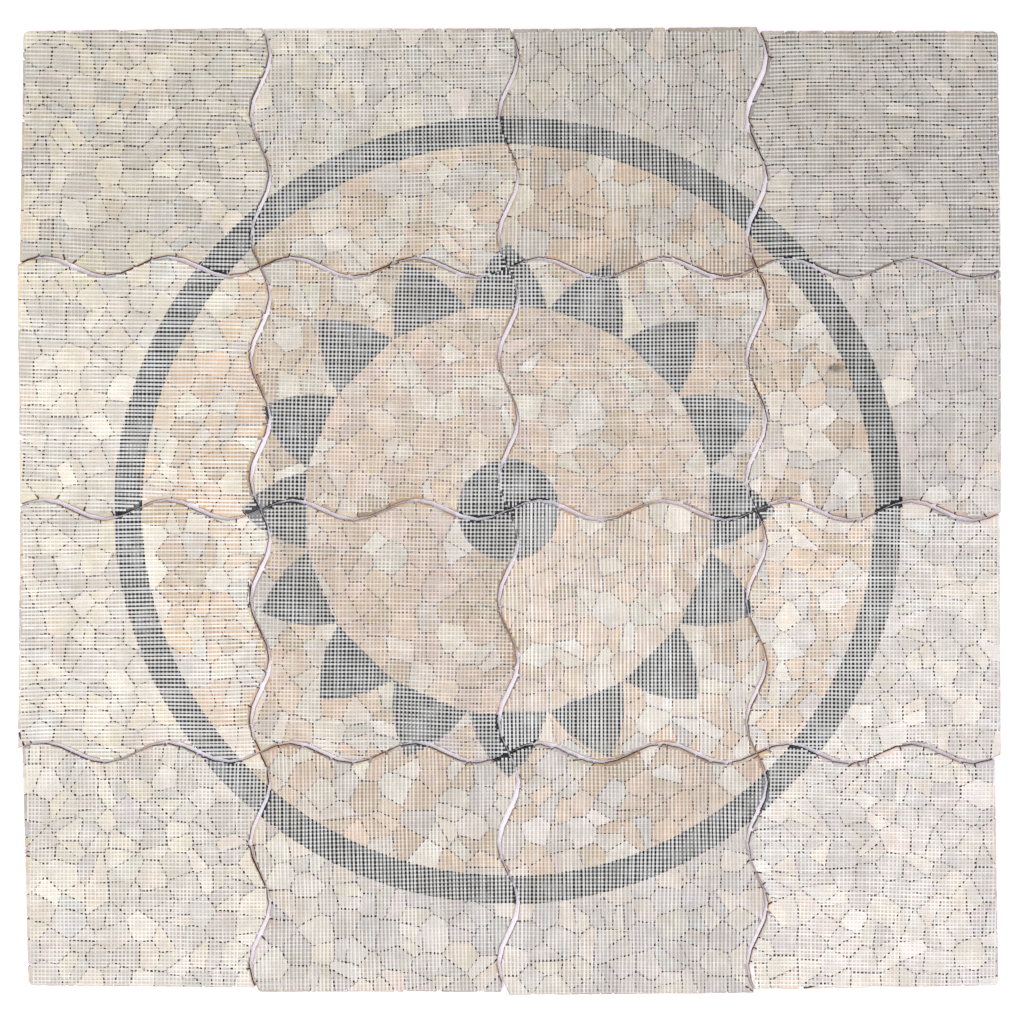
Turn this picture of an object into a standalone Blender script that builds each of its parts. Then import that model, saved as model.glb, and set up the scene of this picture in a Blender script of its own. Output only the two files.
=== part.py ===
"""A marble mosaic rosette for a floor or wall, laid out loose with its mesh side up.

Sixteen sheets of broken marble, each glued to its own square of glass-fibre mesh, lock
together along wavy edges. Dark stones let into the pale ones draw a ring, a sun with
sixteen rays and its hub. The finished faces lie on the ground at z = 0, the mesh is on top
and +Y is the top of the picture.
"""

import math
from typing import NamedTuple

import bmesh
import bpy
from mathutils import Vector
from mathutils.geometry import delaunay_2d_cdt

# Sheets: the middle ones are a whole pitch from seam to seam, the outer ones end straight.
PITCH_X = 0.3037
PITCH_Y = 0.297
OUTER_X = 0.2949
OUTER_Y = 0.2901

# Wavy seams, which start a new wave at every crossing. A seam is narrow where it climbs away
# from a crossing and wide where it falls back.
WAVES_PER_SHEET = 2
WAVE_HEIGHT = 0.012
SEAM_GAP = 0.0032
SEAM_SWING = 0.0021
STEPS_PER_WAVE = 8
MESH_STEPS_PER_WAVE = 4
END_SHARE = 0.2

# Layers, from the ground up, and how far the mesh stays inside the edge of the stone.
STONE_THICKNESS = 0.0095
MESH_THICKNESS = 0.0005
MESH_INSET = 0.0045
GLUE_LINE = 0.0003

# Dark inlay. The ring is laid out from the outer lines, and the rays' tips from the seams that
# they reach across.
INLAY_JOINT = 0.0012
RING_MARGIN = 0.1176
RING_WIDTH = 0.0315
RAY_COUNT = 16
RAY_LENGTH = 0.0745
RAY_PAST_SEAM = 0.0228
RAY_BULGE = 0.0078
RAY_FOOT_GAP = 0.005
HUB_RADIUS = 0.0613
RING_SIDES = 96
HUB_SIDES = 24
RAY_FOOT_SIDES = 3
RAY_FLANK_SIDES = 3

# Strands of the mesh that cross the dark stones and tie each sheet together.
STRAND_WIDTH = 0.0024
STRAND_PITCH = 0.1
STRANDS_PER_SHEET = 3

# How each sheet lies off its place: right, up and turned left, in metres and degrees.
LAY = (
    ((-0.0004, 0.0012, 0.08), (0.0, 0.0003, -0.06), (-0.0002, -0.0004, 0.05), (0.0012, -0.001, -0.08)),
    ((-0.0006, 0.0009, -0.05), (0.0001, 0.0002, 0.08), (0.0, -0.0006, -0.06), (0.0006, -0.001, 0.05)),
    ((-0.0005, 0.0006, 0.06), (0.0001, 0.0002, -0.05), (0.0002, -0.0005, 0.08), (0.0003, -0.0009, -0.05)),
    ((-0.0008, 0.0003, -0.1), (-0.0006, 0.0002, 0.06), (0.0009, -0.0006, -0.05), (0.0014, -0.0008, 0.06)),
)

# How far out of the outer line each straight end is cut, in metres, at its two corners. Along the
# bottom and the top the sheets run from the left and each pair too; along the left and the right
# the sheets run from the top, and each pair from the bottom.
BOTTOM_ENDS = ((-0.0039, -0.0015), (0.0035, 0.0039), (0.0074, 0.0037), (-0.0001, -0.005))
TOP_ENDS = ((-0.0018, 0.0019), (0.0016, 0.0028), (0.0023, 0.0047), (0.0004, 0.0004))
LEFT_ENDS = ((-0.0002, -0.0051), (-0.001, 0.0026), (0.002, -0.001), (-0.0116, -0.0037))
RIGHT_ENDS = ((0.0033, -0.0004), (0.0039, 0.0039), (0.0042, 0.0023), (0.0, -0.0043))

SHEETS = len(LAY)
REACH_X = (SHEETS // 2 - 1) * PITCH_X + OUTER_X
REACH_Y = (SHEETS // 2 - 1) * PITCH_Y + OUTER_Y
RING_RADIUS = REACH_X - RING_MARGIN
DISC_RADIUS = PITCH_X + RAY_PAST_SEAM - RAY_LENGTH

# Each sheet is one solid, and the rest of the solids are dark stones, the largest first.
SOLIDS = 60
INLAY_SOLIDS = SOLIDS - SHEETS * SHEETS

CREAM_MARBLE = (0.72, 0.68, 0.60)
PEACH_MARBLE = (0.74, 0.63, 0.49)
DARK_MARBLE = (0.07, 0.072, 0.075)
MARBLE_ROUGHNESS = 0.55

WELD = 1e-6


class Inlay(NamedTuple):
    """A dark shape of the picture: its outline, and the outline of its open middle if it has one."""

    name: str
    outer: list
    inner: list


class Plan(NamedTuple):
    """A sheet cut into triangles, each with the names of the outlines that it lies in."""

    points: list
    triangles: list
    inside: list


def clear_scene():
    for obj in list(bpy.data.objects):
        bpy.data.objects.remove(obj, do_unlink=True)


def seam_lines(pitch, reach):
    """Where the seams and the two outer lines lie along one axis, from low to high."""
    seams = [(i - SHEETS / 2) * pitch for i in range(1, SHEETS)]
    return [-reach, *seams, reach]


def phase(distance, pitch):
    return 2 * math.pi * distance * WAVES_PER_SHEET / pitch


def side_at(line, distance, pitch, inward):
    """Where a sheet's wavy side lies at a distance from a crossing. Inward is 1 or -1."""
    half_gap = (SEAM_GAP - SEAM_SWING * math.cos(phase(distance, pitch))) / 2
    return line + inward * half_gap


def wave(distance, pitch):
    """How far a seam swings out of line at a distance from a crossing."""
    return WAVE_HEIGHT * math.sin(phase(distance, pitch))


def stations(low, high, step):
    """The ends of a side and every whole step between them that isn't right beside an end."""
    first = math.floor(low / step + END_SHARE) + 1
    last = math.ceil(high / step - END_SHARE) - 1
    return [low, *(i * step for i in range(first, last + 1)), high]


def horizontal_side(y, xs, inward, ends):
    """A wavy side, or a straight one whose two ends are cut so far out of line."""
    if ends:
        return [(x, y - inward * end) for x, end in zip((xs[0], xs[-1]), ends)]
    return [(x, side_at(y, x, PITCH_X, inward) + wave(x, PITCH_X)) for x in xs]


def vertical_side(x, ys, inward, ends):
    if ends:
        return [(x - inward * end, y) for y, end in zip((ys[0], ys[-1]), ends)]
    return [(side_at(x, y, PITCH_Y, inward) - wave(y, PITCH_Y), y) for y in ys]


def sheet_outline(row, column, steps):
    """The rim of one sheet's stone, anticlockwise, with rows counted from the top."""
    lines_x = seam_lines(PITCH_X, REACH_X)
    lines_y = seam_lines(PITCH_Y, REACH_Y)
    up = SHEETS - 1 - row
    bottom_ends = BOTTOM_ENDS[column] if up == 0 else None
    top_ends = TOP_ENDS[column] if row == 0 else None
    left_ends = LEFT_ENDS[row] if column == 0 else None
    right_ends = RIGHT_ENDS[row] if column == SHEETS - 1 else None

    def run(lines, number, before, after, corner, pitch):
        low = lines[number] - (before[corner] if before else 0)
        high = lines[number + 1] + (after[corner] if after else 0)
        return stations(low, high, pitch / WAVES_PER_SHEET / steps)

    bottom_xs = run(lines_x, column, left_ends, right_ends, 0, PITCH_X)
    top_xs = run(lines_x, column, left_ends, right_ends, 1, PITCH_X)
    left_ys = run(lines_y, up, bottom_ends, top_ends, 0, PITCH_Y)
    right_ys = run(lines_y, up, bottom_ends, top_ends, 1, PITCH_Y)
    bottom = horizontal_side(lines_y[up], bottom_xs, 1, bottom_ends)
    top = horizontal_side(lines_y[up + 1], top_xs, -1, top_ends)
    left = vertical_side(lines_x[column], left_ys, 1, left_ends)
    right = vertical_side(lines_x[column + 1], right_ys, -1, right_ends)
    outline = [(left[0][0], bottom[0][1]), *bottom[1:-1]]
    outline += [(right[0][0], bottom[-1][1]), *right[1:-1]]
    outline += [(right[-1][0], top[-1][1]), *top[-2:0:-1]]
    outline += [(left[-1][0], top[0][1]), *left[-2:0:-1]]
    return outline


def offset(loop, distance):
    """The anticlockwise loop with each side moved out by a distance, or in if it is negative."""
    moved = []
    count = len(loop)
    for i in range(count):
        here = Vector(loop[i])
        before = (here - Vector(loop[i - 1])).normalized()
        after = (Vector(loop[(i + 1) % count]) - here).normalized()
        normal_a = Vector((before.y, -before.x))
        normal_b = Vector((after.y, -after.x))
        spread = normal_a + normal_b
        moved.append(tuple(here + spread * (2 * distance / spread.length_squared)))
    return moved


def circle(radius, sides):
    """A regular polygon of the same area as the circle."""
    turn = 2 * math.pi / sides
    reach = radius * math.sqrt(turn / math.sin(turn))
    return [(reach * math.cos(i * turn), reach * math.sin(i * turn)) for i in range(sides)]


def ray_outline(angle):
    """A pointed ray with bowed flanks that stands on the rim of the disc."""
    half = math.pi / RAY_COUNT - math.asin(RAY_FOOT_GAP / 2 / DISC_RADIUS)
    along = Vector((math.cos(angle), math.sin(angle)))
    tip = along * (DISC_RADIUS + RAY_LENGTH)
    foot = []
    for i in range(RAY_FOOT_SIDES + 1):
        turn = angle + half * (1 - 2 * i / RAY_FOOT_SIDES)
        foot.append(Vector((math.cos(turn), math.sin(turn))) * DISC_RADIUS)
    points = [*foot, *bow(foot[-1], tip), tip, *bow(tip, foot[0])]
    return [tuple(p) for p in points]


def bow(start, end):
    """The points between two ends of a flank that bulges out to the right of the way it runs."""
    run = end - start
    out = Vector((run.y, -run.x)).normalized() * RAY_BULGE
    shares = [i / RAY_FLANK_SIDES for i in range(1, RAY_FLANK_SIDES)]
    return [start + run * s + out * (4 * s * (1 - s)) for s in shares]


def picture():
    """The dark shapes, in the panel's own frame."""
    ring = Inlay("ring", circle(RING_RADIUS, RING_SIDES), circle(RING_RADIUS - RING_WIDTH, RING_SIDES))
    hub = Inlay("hub", circle(HUB_RADIUS, HUB_SIDES), [])
    rays = []
    for i in range(RAY_COUNT):
        angle = 2 * math.pi * i / RAY_COUNT
        rays.append(Inlay(f"ray{i + 1:02d}", ray_outline(angle), []))
    return [ring, hub, *rays]


def sheet_centre(row, column):
    lines_x = seam_lines(PITCH_X, REACH_X)
    lines_y = seam_lines(PITCH_Y, REACH_Y)
    up = SHEETS - 1 - row
    return Vector(((lines_x[column] + lines_x[column + 1]) / 2, (lines_y[up] + lines_y[up + 1]) / 2))


def cut_plan(outlines, centre):
    """Cuts overlapping outlines into triangles. Each outline is a (name, loop) pair."""
    points = []
    faces = []
    for _, loop in outlines:
        faces.append(range(len(points), len(points) + len(loop)))
        points += [Vector(p) - centre for p in loop]
    flat, _, triangles, _, _, origins = delaunay_2d_cdt(points, [], [list(f) for f in faces], 0, WELD)
    inside = [{outlines[i][0] for i in origin} for origin in origins]
    return Plan(flat, triangles, inside)


def inlay_outlines(inlays):
    """Each dark shape's own outline, and the wider one of the pocket that it sits in."""
    outlines = []
    for inlay in inlays:
        outlines.append((inlay.name, inlay.outer))
        outlines.append((inlay.name + " pocket", offset(inlay.outer, INLAY_JOINT)))
        if inlay.inner:
            outlines.append((inlay.name + " middle", inlay.inner))
            outlines.append((inlay.name + " island", offset(inlay.inner, -INLAY_JOINT)))
    return outlines


def base_outlines(row, column, inlays):
    stone = sheet_outline(row, column, STEPS_PER_WAVE)
    mesh = offset(sheet_outline(row, column, MESH_STEPS_PER_WAVE), -MESH_INSET)
    return [("stone", stone), ("mesh", mesh), *inlay_outlines(inlays)]


def near(inlay, row, column):
    """Whether any of a dark shape can lie in a sheet."""
    centre = sheet_centre(row, column)
    reach = math.hypot(max(PITCH_X, OUTER_X), max(PITCH_Y, OUTER_Y)) / 2 + WAVE_HEIGHT
    if inlay.inner:
        return centre.length + reach > RING_RADIUS - RING_WIDTH
    loop = inlay.outer
    return min((Vector(p) - centre).length for p in loop) < reach or centre.length < reach


def area(plan, triangle):
    a, b, c = (plan.points[i] for i in plan.triangles[triangle])
    return abs((b - a).cross(c - a)) / 2


def islands(plan, chosen):
    """Groups the chosen triangles into those that join edge to edge."""
    owner = {}
    for t in chosen:
        loop = plan.triangles[t]
        for i in range(3):
            owner.setdefault(frozenset((loop[i], loop[i - 1])), []).append(t)
    links = {t: set() for t in chosen}
    for pair in owner.values():
        for t in pair:
            links[t].update(pair)
    groups = []
    left = set(chosen)
    while left:
        group = set()
        queue = [min(left)]
        while queue:
            t = queue.pop()
            if t in group:
                continue
            group.add(t)
            queue += links[t] - group
        left -= group
        groups.append(group)
    return sorted(groups, key=lambda g: -sum(area(plan, t) for t in g))


def in_inlay(marks, name):
    return "stone" in marks and name in marks and name + " middle" not in marks


def in_pocket(marks, name):
    return "stone" in marks and name + " pocket" in marks and name + " island" not in marks


def dark_pieces(plan, inlays):
    """The parts of the dark shapes that lie in this sheet: (area, name, triangles, pocket)."""
    pieces = []
    for inlay in inlays:
        body = [t for t, marks in enumerate(plan.inside) if in_inlay(marks, inlay.name)]
        pocket = [t for t, marks in enumerate(plan.inside) if in_pocket(marks, inlay.name)]
        pockets = islands(plan, pocket)
        for number, group in enumerate(islands(plan, body)):
            hole = next(p for p in pockets if group <= p)
            size = sum(area(plan, t) for t in group)
            name = inlay.name if number == 0 else f"{inlay.name}_part{number + 1}"
            pieces.append((size, name, group, hole))
    return pieces


def strands_run_up(row, column):
    """Whether a sheet's strands run along Y. They lead out from the panel's middle, and in a corner
    sheet beside the seam that first swings away from the corner."""
    centre = sheet_centre(row, column)
    if row in (0, SHEETS - 1) and column in (0, SHEETS - 1):
        return centre.x * centre.y > 0
    return abs(centre.y) > abs(centre.x)


def strand_loops(row, column, loose_middles):
    """Narrow strips across the sheet at even steps, and one through every loose middle."""
    centre = sheet_centre(row, column)
    along_y = strands_run_up(row, column)
    middles = [(i - (STRANDS_PER_SHEET - 1) / 2) * STRAND_PITCH for i in range(STRANDS_PER_SHEET)]
    middles += [m.x if along_y else m.y for m in loose_middles]
    reach = max(PITCH_X, PITCH_Y, OUTER_X, OUTER_Y)
    loops = []
    for middle in middles:
        low, high = middle - STRAND_WIDTH / 2, middle + STRAND_WIDTH / 2
        loop = [(low, -reach), (high, -reach), (high, reach), (low, reach)]
        if not along_y:
            loop = [(y, x) for x, y in reversed(loop)]
        loops.append([tuple(Vector(p) + centre) for p in loop])
    return loops


def middle_of(plan, group):
    total = Vector((0, 0))
    weight = 0
    for t in group:
        size = area(plan, t)
        total += sum((plan.points[i] for i in plan.triangles[t]), Vector((0, 0))) / 3 * size
        weight += size
    return total / weight


def stand_up(name, plan, layers, material, parent):
    """One closed solid from flat layers of the plan: each layer is (bottom, top, triangles)."""
    bm = bmesh.new()
    corners = {}

    def corner(point, z):
        if (point, z) not in corners:
            corners[point, z] = bm.verts.new((*plan.points[point], z))
        return corners[point, z]

    levels = sorted({z for bottom, top, _ in layers for z in (bottom, top)})
    for z in levels:
        under = set().union(*(t for _, top, t in layers if top == z))
        over = set().union(*(t for bottom, _, t in layers if bottom == z))
        for t in sorted(under - over):
            bm.faces.new([corner(i, z) for i in plan.triangles[t]])
        for t in sorted(over - under):
            bm.faces.new([corner(i, z) for i in reversed(plan.triangles[t])])
    for bottom, top, triangles in layers:
        for a, b in rim_edges(plan, triangles):
            bm.faces.new([corner(a, bottom), corner(b, bottom), corner(b, top), corner(a, top)])
    bmesh.ops.dissolve_limit(bm, angle_limit=0.002, verts=bm.verts, edges=bm.edges)
    mesh = bpy.data.meshes.new(name)
    bm.to_mesh(mesh)
    bm.free()
    mesh.materials.append(material)
    obj = bpy.data.objects.new(name, mesh)
    bpy.context.scene.collection.objects.link(obj)
    obj.parent = parent
    return obj


def rim_edges(plan, triangles):
    """The edges round a group of triangles, each running anticlockwise round it."""
    edges = set()
    for t in sorted(triangles):
        loop = plan.triangles[t]
        edges |= {(loop[i], loop[(i + 1) % 3]) for i in range(3)}
    return sorted(e for e in edges if (e[1], e[0]) not in edges)


def marble(name, colour):
    material = bpy.data.materials.new(name)
    material.diffuse_color = (*colour, 1)
    material.use_nodes = True
    shader = material.node_tree.nodes["Principled BSDF"]
    shader.inputs["Base Color"].default_value = (*colour, 1)
    shader.inputs["Roughness"].default_value = MARBLE_ROUGHNESS
    shader.inputs["Metallic"].default_value = 0
    return material


def chosen_pieces(inlays):
    """The dark pieces that get a solid, as (row, column, name): all but the smallest corners."""
    found = []
    for row in range(SHEETS):
        for column in range(SHEETS):
            nearby = [inlay for inlay in inlays if near(inlay, row, column)]
            plan = cut_plan(base_outlines(row, column, nearby), sheet_centre(row, column))
            for size, name, _, _ in dark_pieces(plan, nearby):
                found.append((size, row, column, name))
    found.sort(reverse=True)
    return {key[1:] for key in found[:INLAY_SOLIDS]}


def plan_sheet(row, column, inlays, chosen):
    """A sheet's plan with its strands, its kept dark pieces and its pale stone."""
    centre = sheet_centre(row, column)
    nearby = [inlay for inlay in inlays if near(inlay, row, column)]
    outlines = base_outlines(row, column, nearby)

    def read(plan):
        kept = [p for p in dark_pieces(plan, nearby) if (row, column, p[1]) in chosen]
        return plan, kept, pale_stone(plan, kept)

    plan, _, pale = read(cut_plan(outlines, centre))
    loose = [middle_of(plan, group) for group in islands(plan, netted(plan) & pale)[1:]]
    strands = [("strand", loop) for loop in strand_loops(row, column, loose)]
    return read(cut_plan(outlines + strands, centre))


def build_sheet(row, column, inlays, chosen, place):
    """A sheet's pale stone with its mesh as one solid, and each of its dark stones."""
    plan, kept, pale = plan_sheet(row, column, inlays, chosen)
    net = {t for t in netted(plan) if t in pale or "strand" in plan.inside[t]}
    label = f"r{row + 1}c{column + 1}"
    is_middle = 0 < row < SHEETS - 1 and 0 < column < SHEETS - 1
    tone = marble(f"pale_marble_{label}", PEACH_MARBLE if is_middle else CREAM_MARBLE)
    mesh_top = STONE_THICKNESS + MESH_THICKNESS
    layers = [(0, STONE_THICKNESS, pale), (STONE_THICKNESS, mesh_top, net)]
    stand_up(f"sheet_{label}", plan, layers, tone, place)
    for _, name, group, _ in kept:
        tone = marble(f"dark_marble_{name}_{label}", DARK_MARBLE)
        stand_up(f"{name}_{label}", plan, [(0, STONE_THICKNESS - GLUE_LINE, group)], tone, place)


def add_empty(name, parent=None):
    empty = bpy.data.objects.new(name, None)
    bpy.context.scene.collection.objects.link(empty)
    empty.parent = parent
    return empty


def lay_place(row, column, root):
    """The middle of a sheet where it really lies, a little off its true place."""
    place = add_empty(f"place_r{row + 1}c{column + 1}", root)
    centre = sheet_centre(row, column)
    right, up, turn = LAY[row][column]
    place.location = (centre.x + right, centre.y + up, 0)
    place.rotation_euler.z = math.radians(turn)
    return place


def pale_stone(plan, kept):
    """The sheet's stone outside every pocket that holds a dark piece."""
    pockets = set().union(*(hole for _, _, _, hole in kept))
    return {t for t, marks in enumerate(plan.inside) if "stone" in marks} - pockets


def netted(plan):
    """What the mesh would cover if it had no openings over the dark stones."""
    return {t for t, marks in enumerate(plan.inside) if {"stone", "mesh"} <= marks}


def centre_on_origin(root):
    """Slides the whole panel so that the middle of its outer box is over the origin."""
    bpy.context.view_layer.update()
    points = []
    for obj in bpy.data.objects:
        if obj.type == "MESH":
            points += [obj.matrix_world @ v.co for v in obj.data.vertices]
    for axis in (0, 1):
        low = min(p[axis] for p in points)
        high = max(p[axis] for p in points)
        root.location[axis] -= (low + high) / 2
    bpy.context.view_layer.update()


def main():
    clear_scene()
    root = add_empty("panel")
    inlays = picture()
    chosen = chosen_pieces(inlays)
    for row in range(SHEETS):
        for column in range(SHEETS):
            build_sheet(row, column, inlays, chosen, lay_place(row, column, root))
    centre_on_origin(root)


main()
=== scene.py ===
"""The looks of the mosaic rosette: single marble chips, dark stones and the woven glass-fibre mesh.

The panel lies face down on a pale floor, so the mesh and the backs of the stones are on top.
Every sheet gets one piece for its chips and one for its mesh, and every dark stone is a piece
of its own. Lengths are in metres.
"""

import math
import random

import bpy
import numpy as np
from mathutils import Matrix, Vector, noise
from mathutils.geometry import delaunay_2d_cdt


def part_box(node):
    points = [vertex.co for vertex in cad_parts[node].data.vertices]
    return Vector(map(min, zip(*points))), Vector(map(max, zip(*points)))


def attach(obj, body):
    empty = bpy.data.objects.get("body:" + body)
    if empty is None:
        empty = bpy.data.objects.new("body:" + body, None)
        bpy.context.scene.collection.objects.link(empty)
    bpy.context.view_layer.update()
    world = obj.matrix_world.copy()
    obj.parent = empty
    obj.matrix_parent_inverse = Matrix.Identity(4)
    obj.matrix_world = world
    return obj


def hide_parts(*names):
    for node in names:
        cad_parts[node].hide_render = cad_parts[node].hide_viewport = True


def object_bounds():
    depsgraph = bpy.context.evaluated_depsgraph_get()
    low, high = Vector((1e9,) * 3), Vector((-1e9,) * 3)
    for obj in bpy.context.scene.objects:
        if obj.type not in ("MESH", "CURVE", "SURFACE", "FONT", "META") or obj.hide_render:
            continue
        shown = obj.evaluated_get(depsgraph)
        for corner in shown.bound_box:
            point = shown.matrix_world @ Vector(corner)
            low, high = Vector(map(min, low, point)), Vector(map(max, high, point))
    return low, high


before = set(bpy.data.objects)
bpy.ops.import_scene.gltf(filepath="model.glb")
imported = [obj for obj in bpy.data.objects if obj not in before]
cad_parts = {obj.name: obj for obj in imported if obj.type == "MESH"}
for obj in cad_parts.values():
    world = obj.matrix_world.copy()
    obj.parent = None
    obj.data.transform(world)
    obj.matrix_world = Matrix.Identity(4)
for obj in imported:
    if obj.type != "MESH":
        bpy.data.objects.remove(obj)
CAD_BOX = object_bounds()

# The picture, as the solids have it.
SHEETS = 4
DISC_RADIUS = 0.252
DISC_SIDES = 96
RAY_COUNT = 16
RAY_LENGTH = 0.0745
RAY_BULGE = 0.0078
RAY_FOOT_GAP = 0.005
RING_RADIUS = 0.481
STONE_TOP = 0.0095
DARK_TOP = 0.0092
PANEL_TOP = 0.010
INLAY_JOINT = 0.0012

# Corners of rays that a seam cuts off and that have no solid: how far they stay inside the ray's
# outline, how wide and how large they are at least, and how far off their joint reaches.
RAY_INSET = 0.0004
LEAST_HALF_WIDTH = 0.0006
LEAST_CORNER = 2e-5
CORNER_POCKET = 0.03

# How far a dark stone is grown past its joint, to close the outline of its sheet.
JOINT_OVERLAP = 0.0004

# Chips: how far apart their middles are, how much further some of them reach, which large ones
# are broken in two, and their joints.
CHIP_GAPS = (0.023, 0.046)
CHIP_WEIGHT = 0.00022
NEIGHBOURS = 20
SAMPLE_STEP = 0.003
BOX_MARGIN = 0.001
BOX_MARGIN_SHARE = 0.01
RELAX_ROUNDS = 1
RELAX_PULL = 0.35
SPLIT_SHARE = 0.5
SPLIT_AREA = 0.0007
HALF_JOINTS = (0.0003, 0.0013)
LEAST_CHIP = 3.5e-5

# Edges of the chips, how far their corners are nipped off, and at which bends, in radians.
EDGE_STEP = 0.006
EDGE_ROUGHNESS = 0.0004
EDGE_SWINGS = (-1, 0.6)
SHORT_EDGE = 0.0016
NIP = (0.0008, 0.0022)
NIP_LIMIT = 0.35
NIP_SHARE = 0.3
SHARP_BEND = 1.9
SOFT_BENDS = (0.5, 1.4)

# The panel's own four corners, which are broken off further.
CORNER_NIP = 0.006
CORNER_LIMIT = 0.5
CORNER_DEPTH = 0.4
CORNER_REACH = 0.004

# Rims and sides of the stones, and how much lower than the highest one they end.
RIM = 0.0005
FACE_RIM = RIM * 0.6
LIP = RIM * 0.2
RIM_LIMIT = 1.6
TOP_DROP = 0.00035
SIDE_SWELL = 0.00025
SWELL_HEIGHT = 0.55
GRAIN_SPREAD = 5

# Stones along a seam have wider rims, browner: partly a real glue stain, partly a painted shade of
# the seam's edge. A longer step of a sheet's outline than the longest of a seam is the panel's
# outer edge.
SEAM_RIM = 0.0017
SEAM_REACH = 0.0008
SEAM_STEP = 0.05
SEAM_STAIN_AND_SHADE = (0.36, 0.21, 0.12)
STAIN_AND_SHADE_SHARES = (0.45, 1.0)
STAIN_AND_SHADE_SCALE = 22.0
STAIN_AND_SHADE_CONTRAST = 1.5

# Mesh: two layers of flat threads, one over the other. Threads end a little short of the sheet's
# edges. Over a joint they are painted darker, a painted shade of the open gap under them, the
# less so the more glue they hold.
THREAD_PITCH = 0.0047
THREAD_WIDTHS = {"even": (0.0018, 0.0023), "weft": (0.0022, 0.0027), "warp": (0.0012, 0.0017)}
THREAD_MARGIN = 0.001
THREAD_INSET = (0.0, 0.0025)
LEAST_THREAD = 0.015
PAINTED_JOINT_SHADES = {"little": (0.25, 0.85), "some": (0.3, 0.95), "much": (0.5, 1.0)}

# How far a mesh lies off its sheet, how its threads stray and sway, and its turn in degrees.
NET_SLIP = 0.0024
THREAD_STRAY = 0.00045
NET_SWAY = 0.002
NET_SWAY_SCALE = 10.0
SWAY_SEEDS = 50
NET_TURN = 1.1

# Vector noise without a seed of its own comes out different on each run.
NOISE_SEED = 7
noise.seed_set(NOISE_SEED)

# Points nearer to each other than this are one.
WELD = 1e-6


def middle_of_hub():
    """The middle of the picture, which isn't quite the middle of the panel's box."""
    boxes = [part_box(node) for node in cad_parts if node.startswith("hub")]
    low = [min(box[0][axis] for box in boxes) for axis in (0, 1)]
    high = [max(box[1][axis] for box in boxes) for axis in (0, 1)]
    return Vector(((low[0] + high[0]) / 2, (low[1] + high[1]) / 2))


PICTURE_MIDDLE = middle_of_hub()


def srgb(red, green, blue):
    """A colour as it is seen on screen, 0 to 255, as the linear numbers that shaders use."""
    return tuple(((c / 255 + 0.055) / 1.055) ** 2.4 for c in (red, green, blue))


CREAM = srgb(194, 184, 172)
GREY_BEIGE = srgb(175, 167, 162)
SAGE = srgb(176, 171, 168)
PALE = srgb(204, 196, 188)
PEACH = srgb(188, 163, 141)
PINK_BEIGE = srgb(185, 162, 148)
TAN = srgb(166, 143, 118)
DARK = srgb(36, 37, 40)
GLUE = srgb(196, 192, 183)
THREAD = srgb(225, 223, 219)
THREAD_ON_DARK = srgb(220, 221, 223)

VEIN = srgb(146, 122, 96)
BROWN_STAIN = srgb(138, 110, 84)
PIT = srgb(104, 76, 50)
PATCH = srgb(108, 100, 88)
DARK_CLOUDS = (srgb(16, 17, 20), srgb(46, 47, 51))
DARK_VEIN = srgb(120, 120, 118)
DARK_SIDE = srgb(74, 73, 76)
DARK_HAZE = srgb(150, 151, 152)
FIBRE_SHADE = srgb(80, 76, 70)
SOIL = srgb(168, 156, 142)

# What a colour is multiplied by where the stone is dull, warm or cool, on a stone's side, which is a
# painted shade, and where the yarn is soaked.
DULL = (0.78, 0.765, 0.74)
WARM = (1.06, 0.98, 0.86)
COOL = (0.95, 0.98, 1.03)
BROWN_SIDE_SHADE = (0.62, 0.45, 0.32)
GREY_SIDE_SHADE = (0.54, 0.46, 0.39)
SOAKED = (0.82, 0.81, 0.79)

# Shares of the stone lots in each part of the picture. Outside the ring lies the field, which
# starts under the ring.
FIELD_RADIUS = RING_RADIUS - 0.02
LOTS = {
    "field": ((CREAM, 4), (GREY_BEIGE, 4), (SAGE, 2), (PALE, 1)),
    "middle": ((PEACH, 4), (CREAM, 3), (GREY_BEIGE, 2), (TAN, 2), (PALE, 1)),
    "disc": ((PEACH, 4), (PINK_BEIGE, 4), (CREAM, 2), (TAN, 1), (PALE, 1)),
}

# How the stone's colour varies: its lightness under the mesh, darkened by a painted shade of the
# threads, and within a lot, its tint, its lightness and its blue by the metre to the right and up,
# the share of cream stone that it loses towards the top right corner, and its lightness in the
# sheets of paler or duller stone.
PAINTED_MESH_SHADE = 0.945
SHADE_SPREAD = 0.06
TINT_SPREAD = 0.016
LIGHTNESS_DRIFT = Vector((-0.10, -0.20))
BLUE_DRIFT = Vector((0.09, -0.08))
CREAM_LOSS = 0.9
PALER_SHEETS = {"r2c1": 1.16, "r2c4": 1.08, "r3c1": 1.08, "r3c4": 1.26, "r4c4": 1.16}
DULLER_SHEETS = {
    "r1c3": 0.94,
    "r1c4": 0.85,
    "r2c2": 0.97,
    "r2c3": 0.95,
    "r3c2": 0.87,
    "r4c1": 0.92,
    "r4c2": 0.83,
    "r4c3": 0.87,
}

# Mesh of each sheet: which way its wide weft runs where that shows, whether its upright threads lie
# over the others, and how much glue it holds. Threads soaked with glue are clear enough to take on
# some of the colour under them: the cover is the share that they keep of their own colour.
WEFT_UPRIGHT = ("r1c3", "r3c3", "r4c2", "r4c3")
WEFT_LEVEL = ("r1c1", "r1c4", "r2c1", "r3c1")
UPRIGHT_ON_TOP = ("r1c3", "r2c4", "r3c3", "r4c2", "r4c3")
MUCH_GLUE = ("r2c1", "r3c1", "r3c3", "r3c4", "r4c4")
LITTLE_GLUE = ("r1c3", "r2c4", "r3c2", "r4c2")
THREAD_COVER = {"little": 0.36, "some": 0.43, "much": 0.6}
WARP_COVER = 0.45
COVER_SPREAD = 0.2

# A small dark patch inside the ring on the right, from the middle of the picture.
PATCH_PLACE = Vector((0.401, 0.174))
PATCH_REACH = Vector((0.011, 0.0055))


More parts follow.
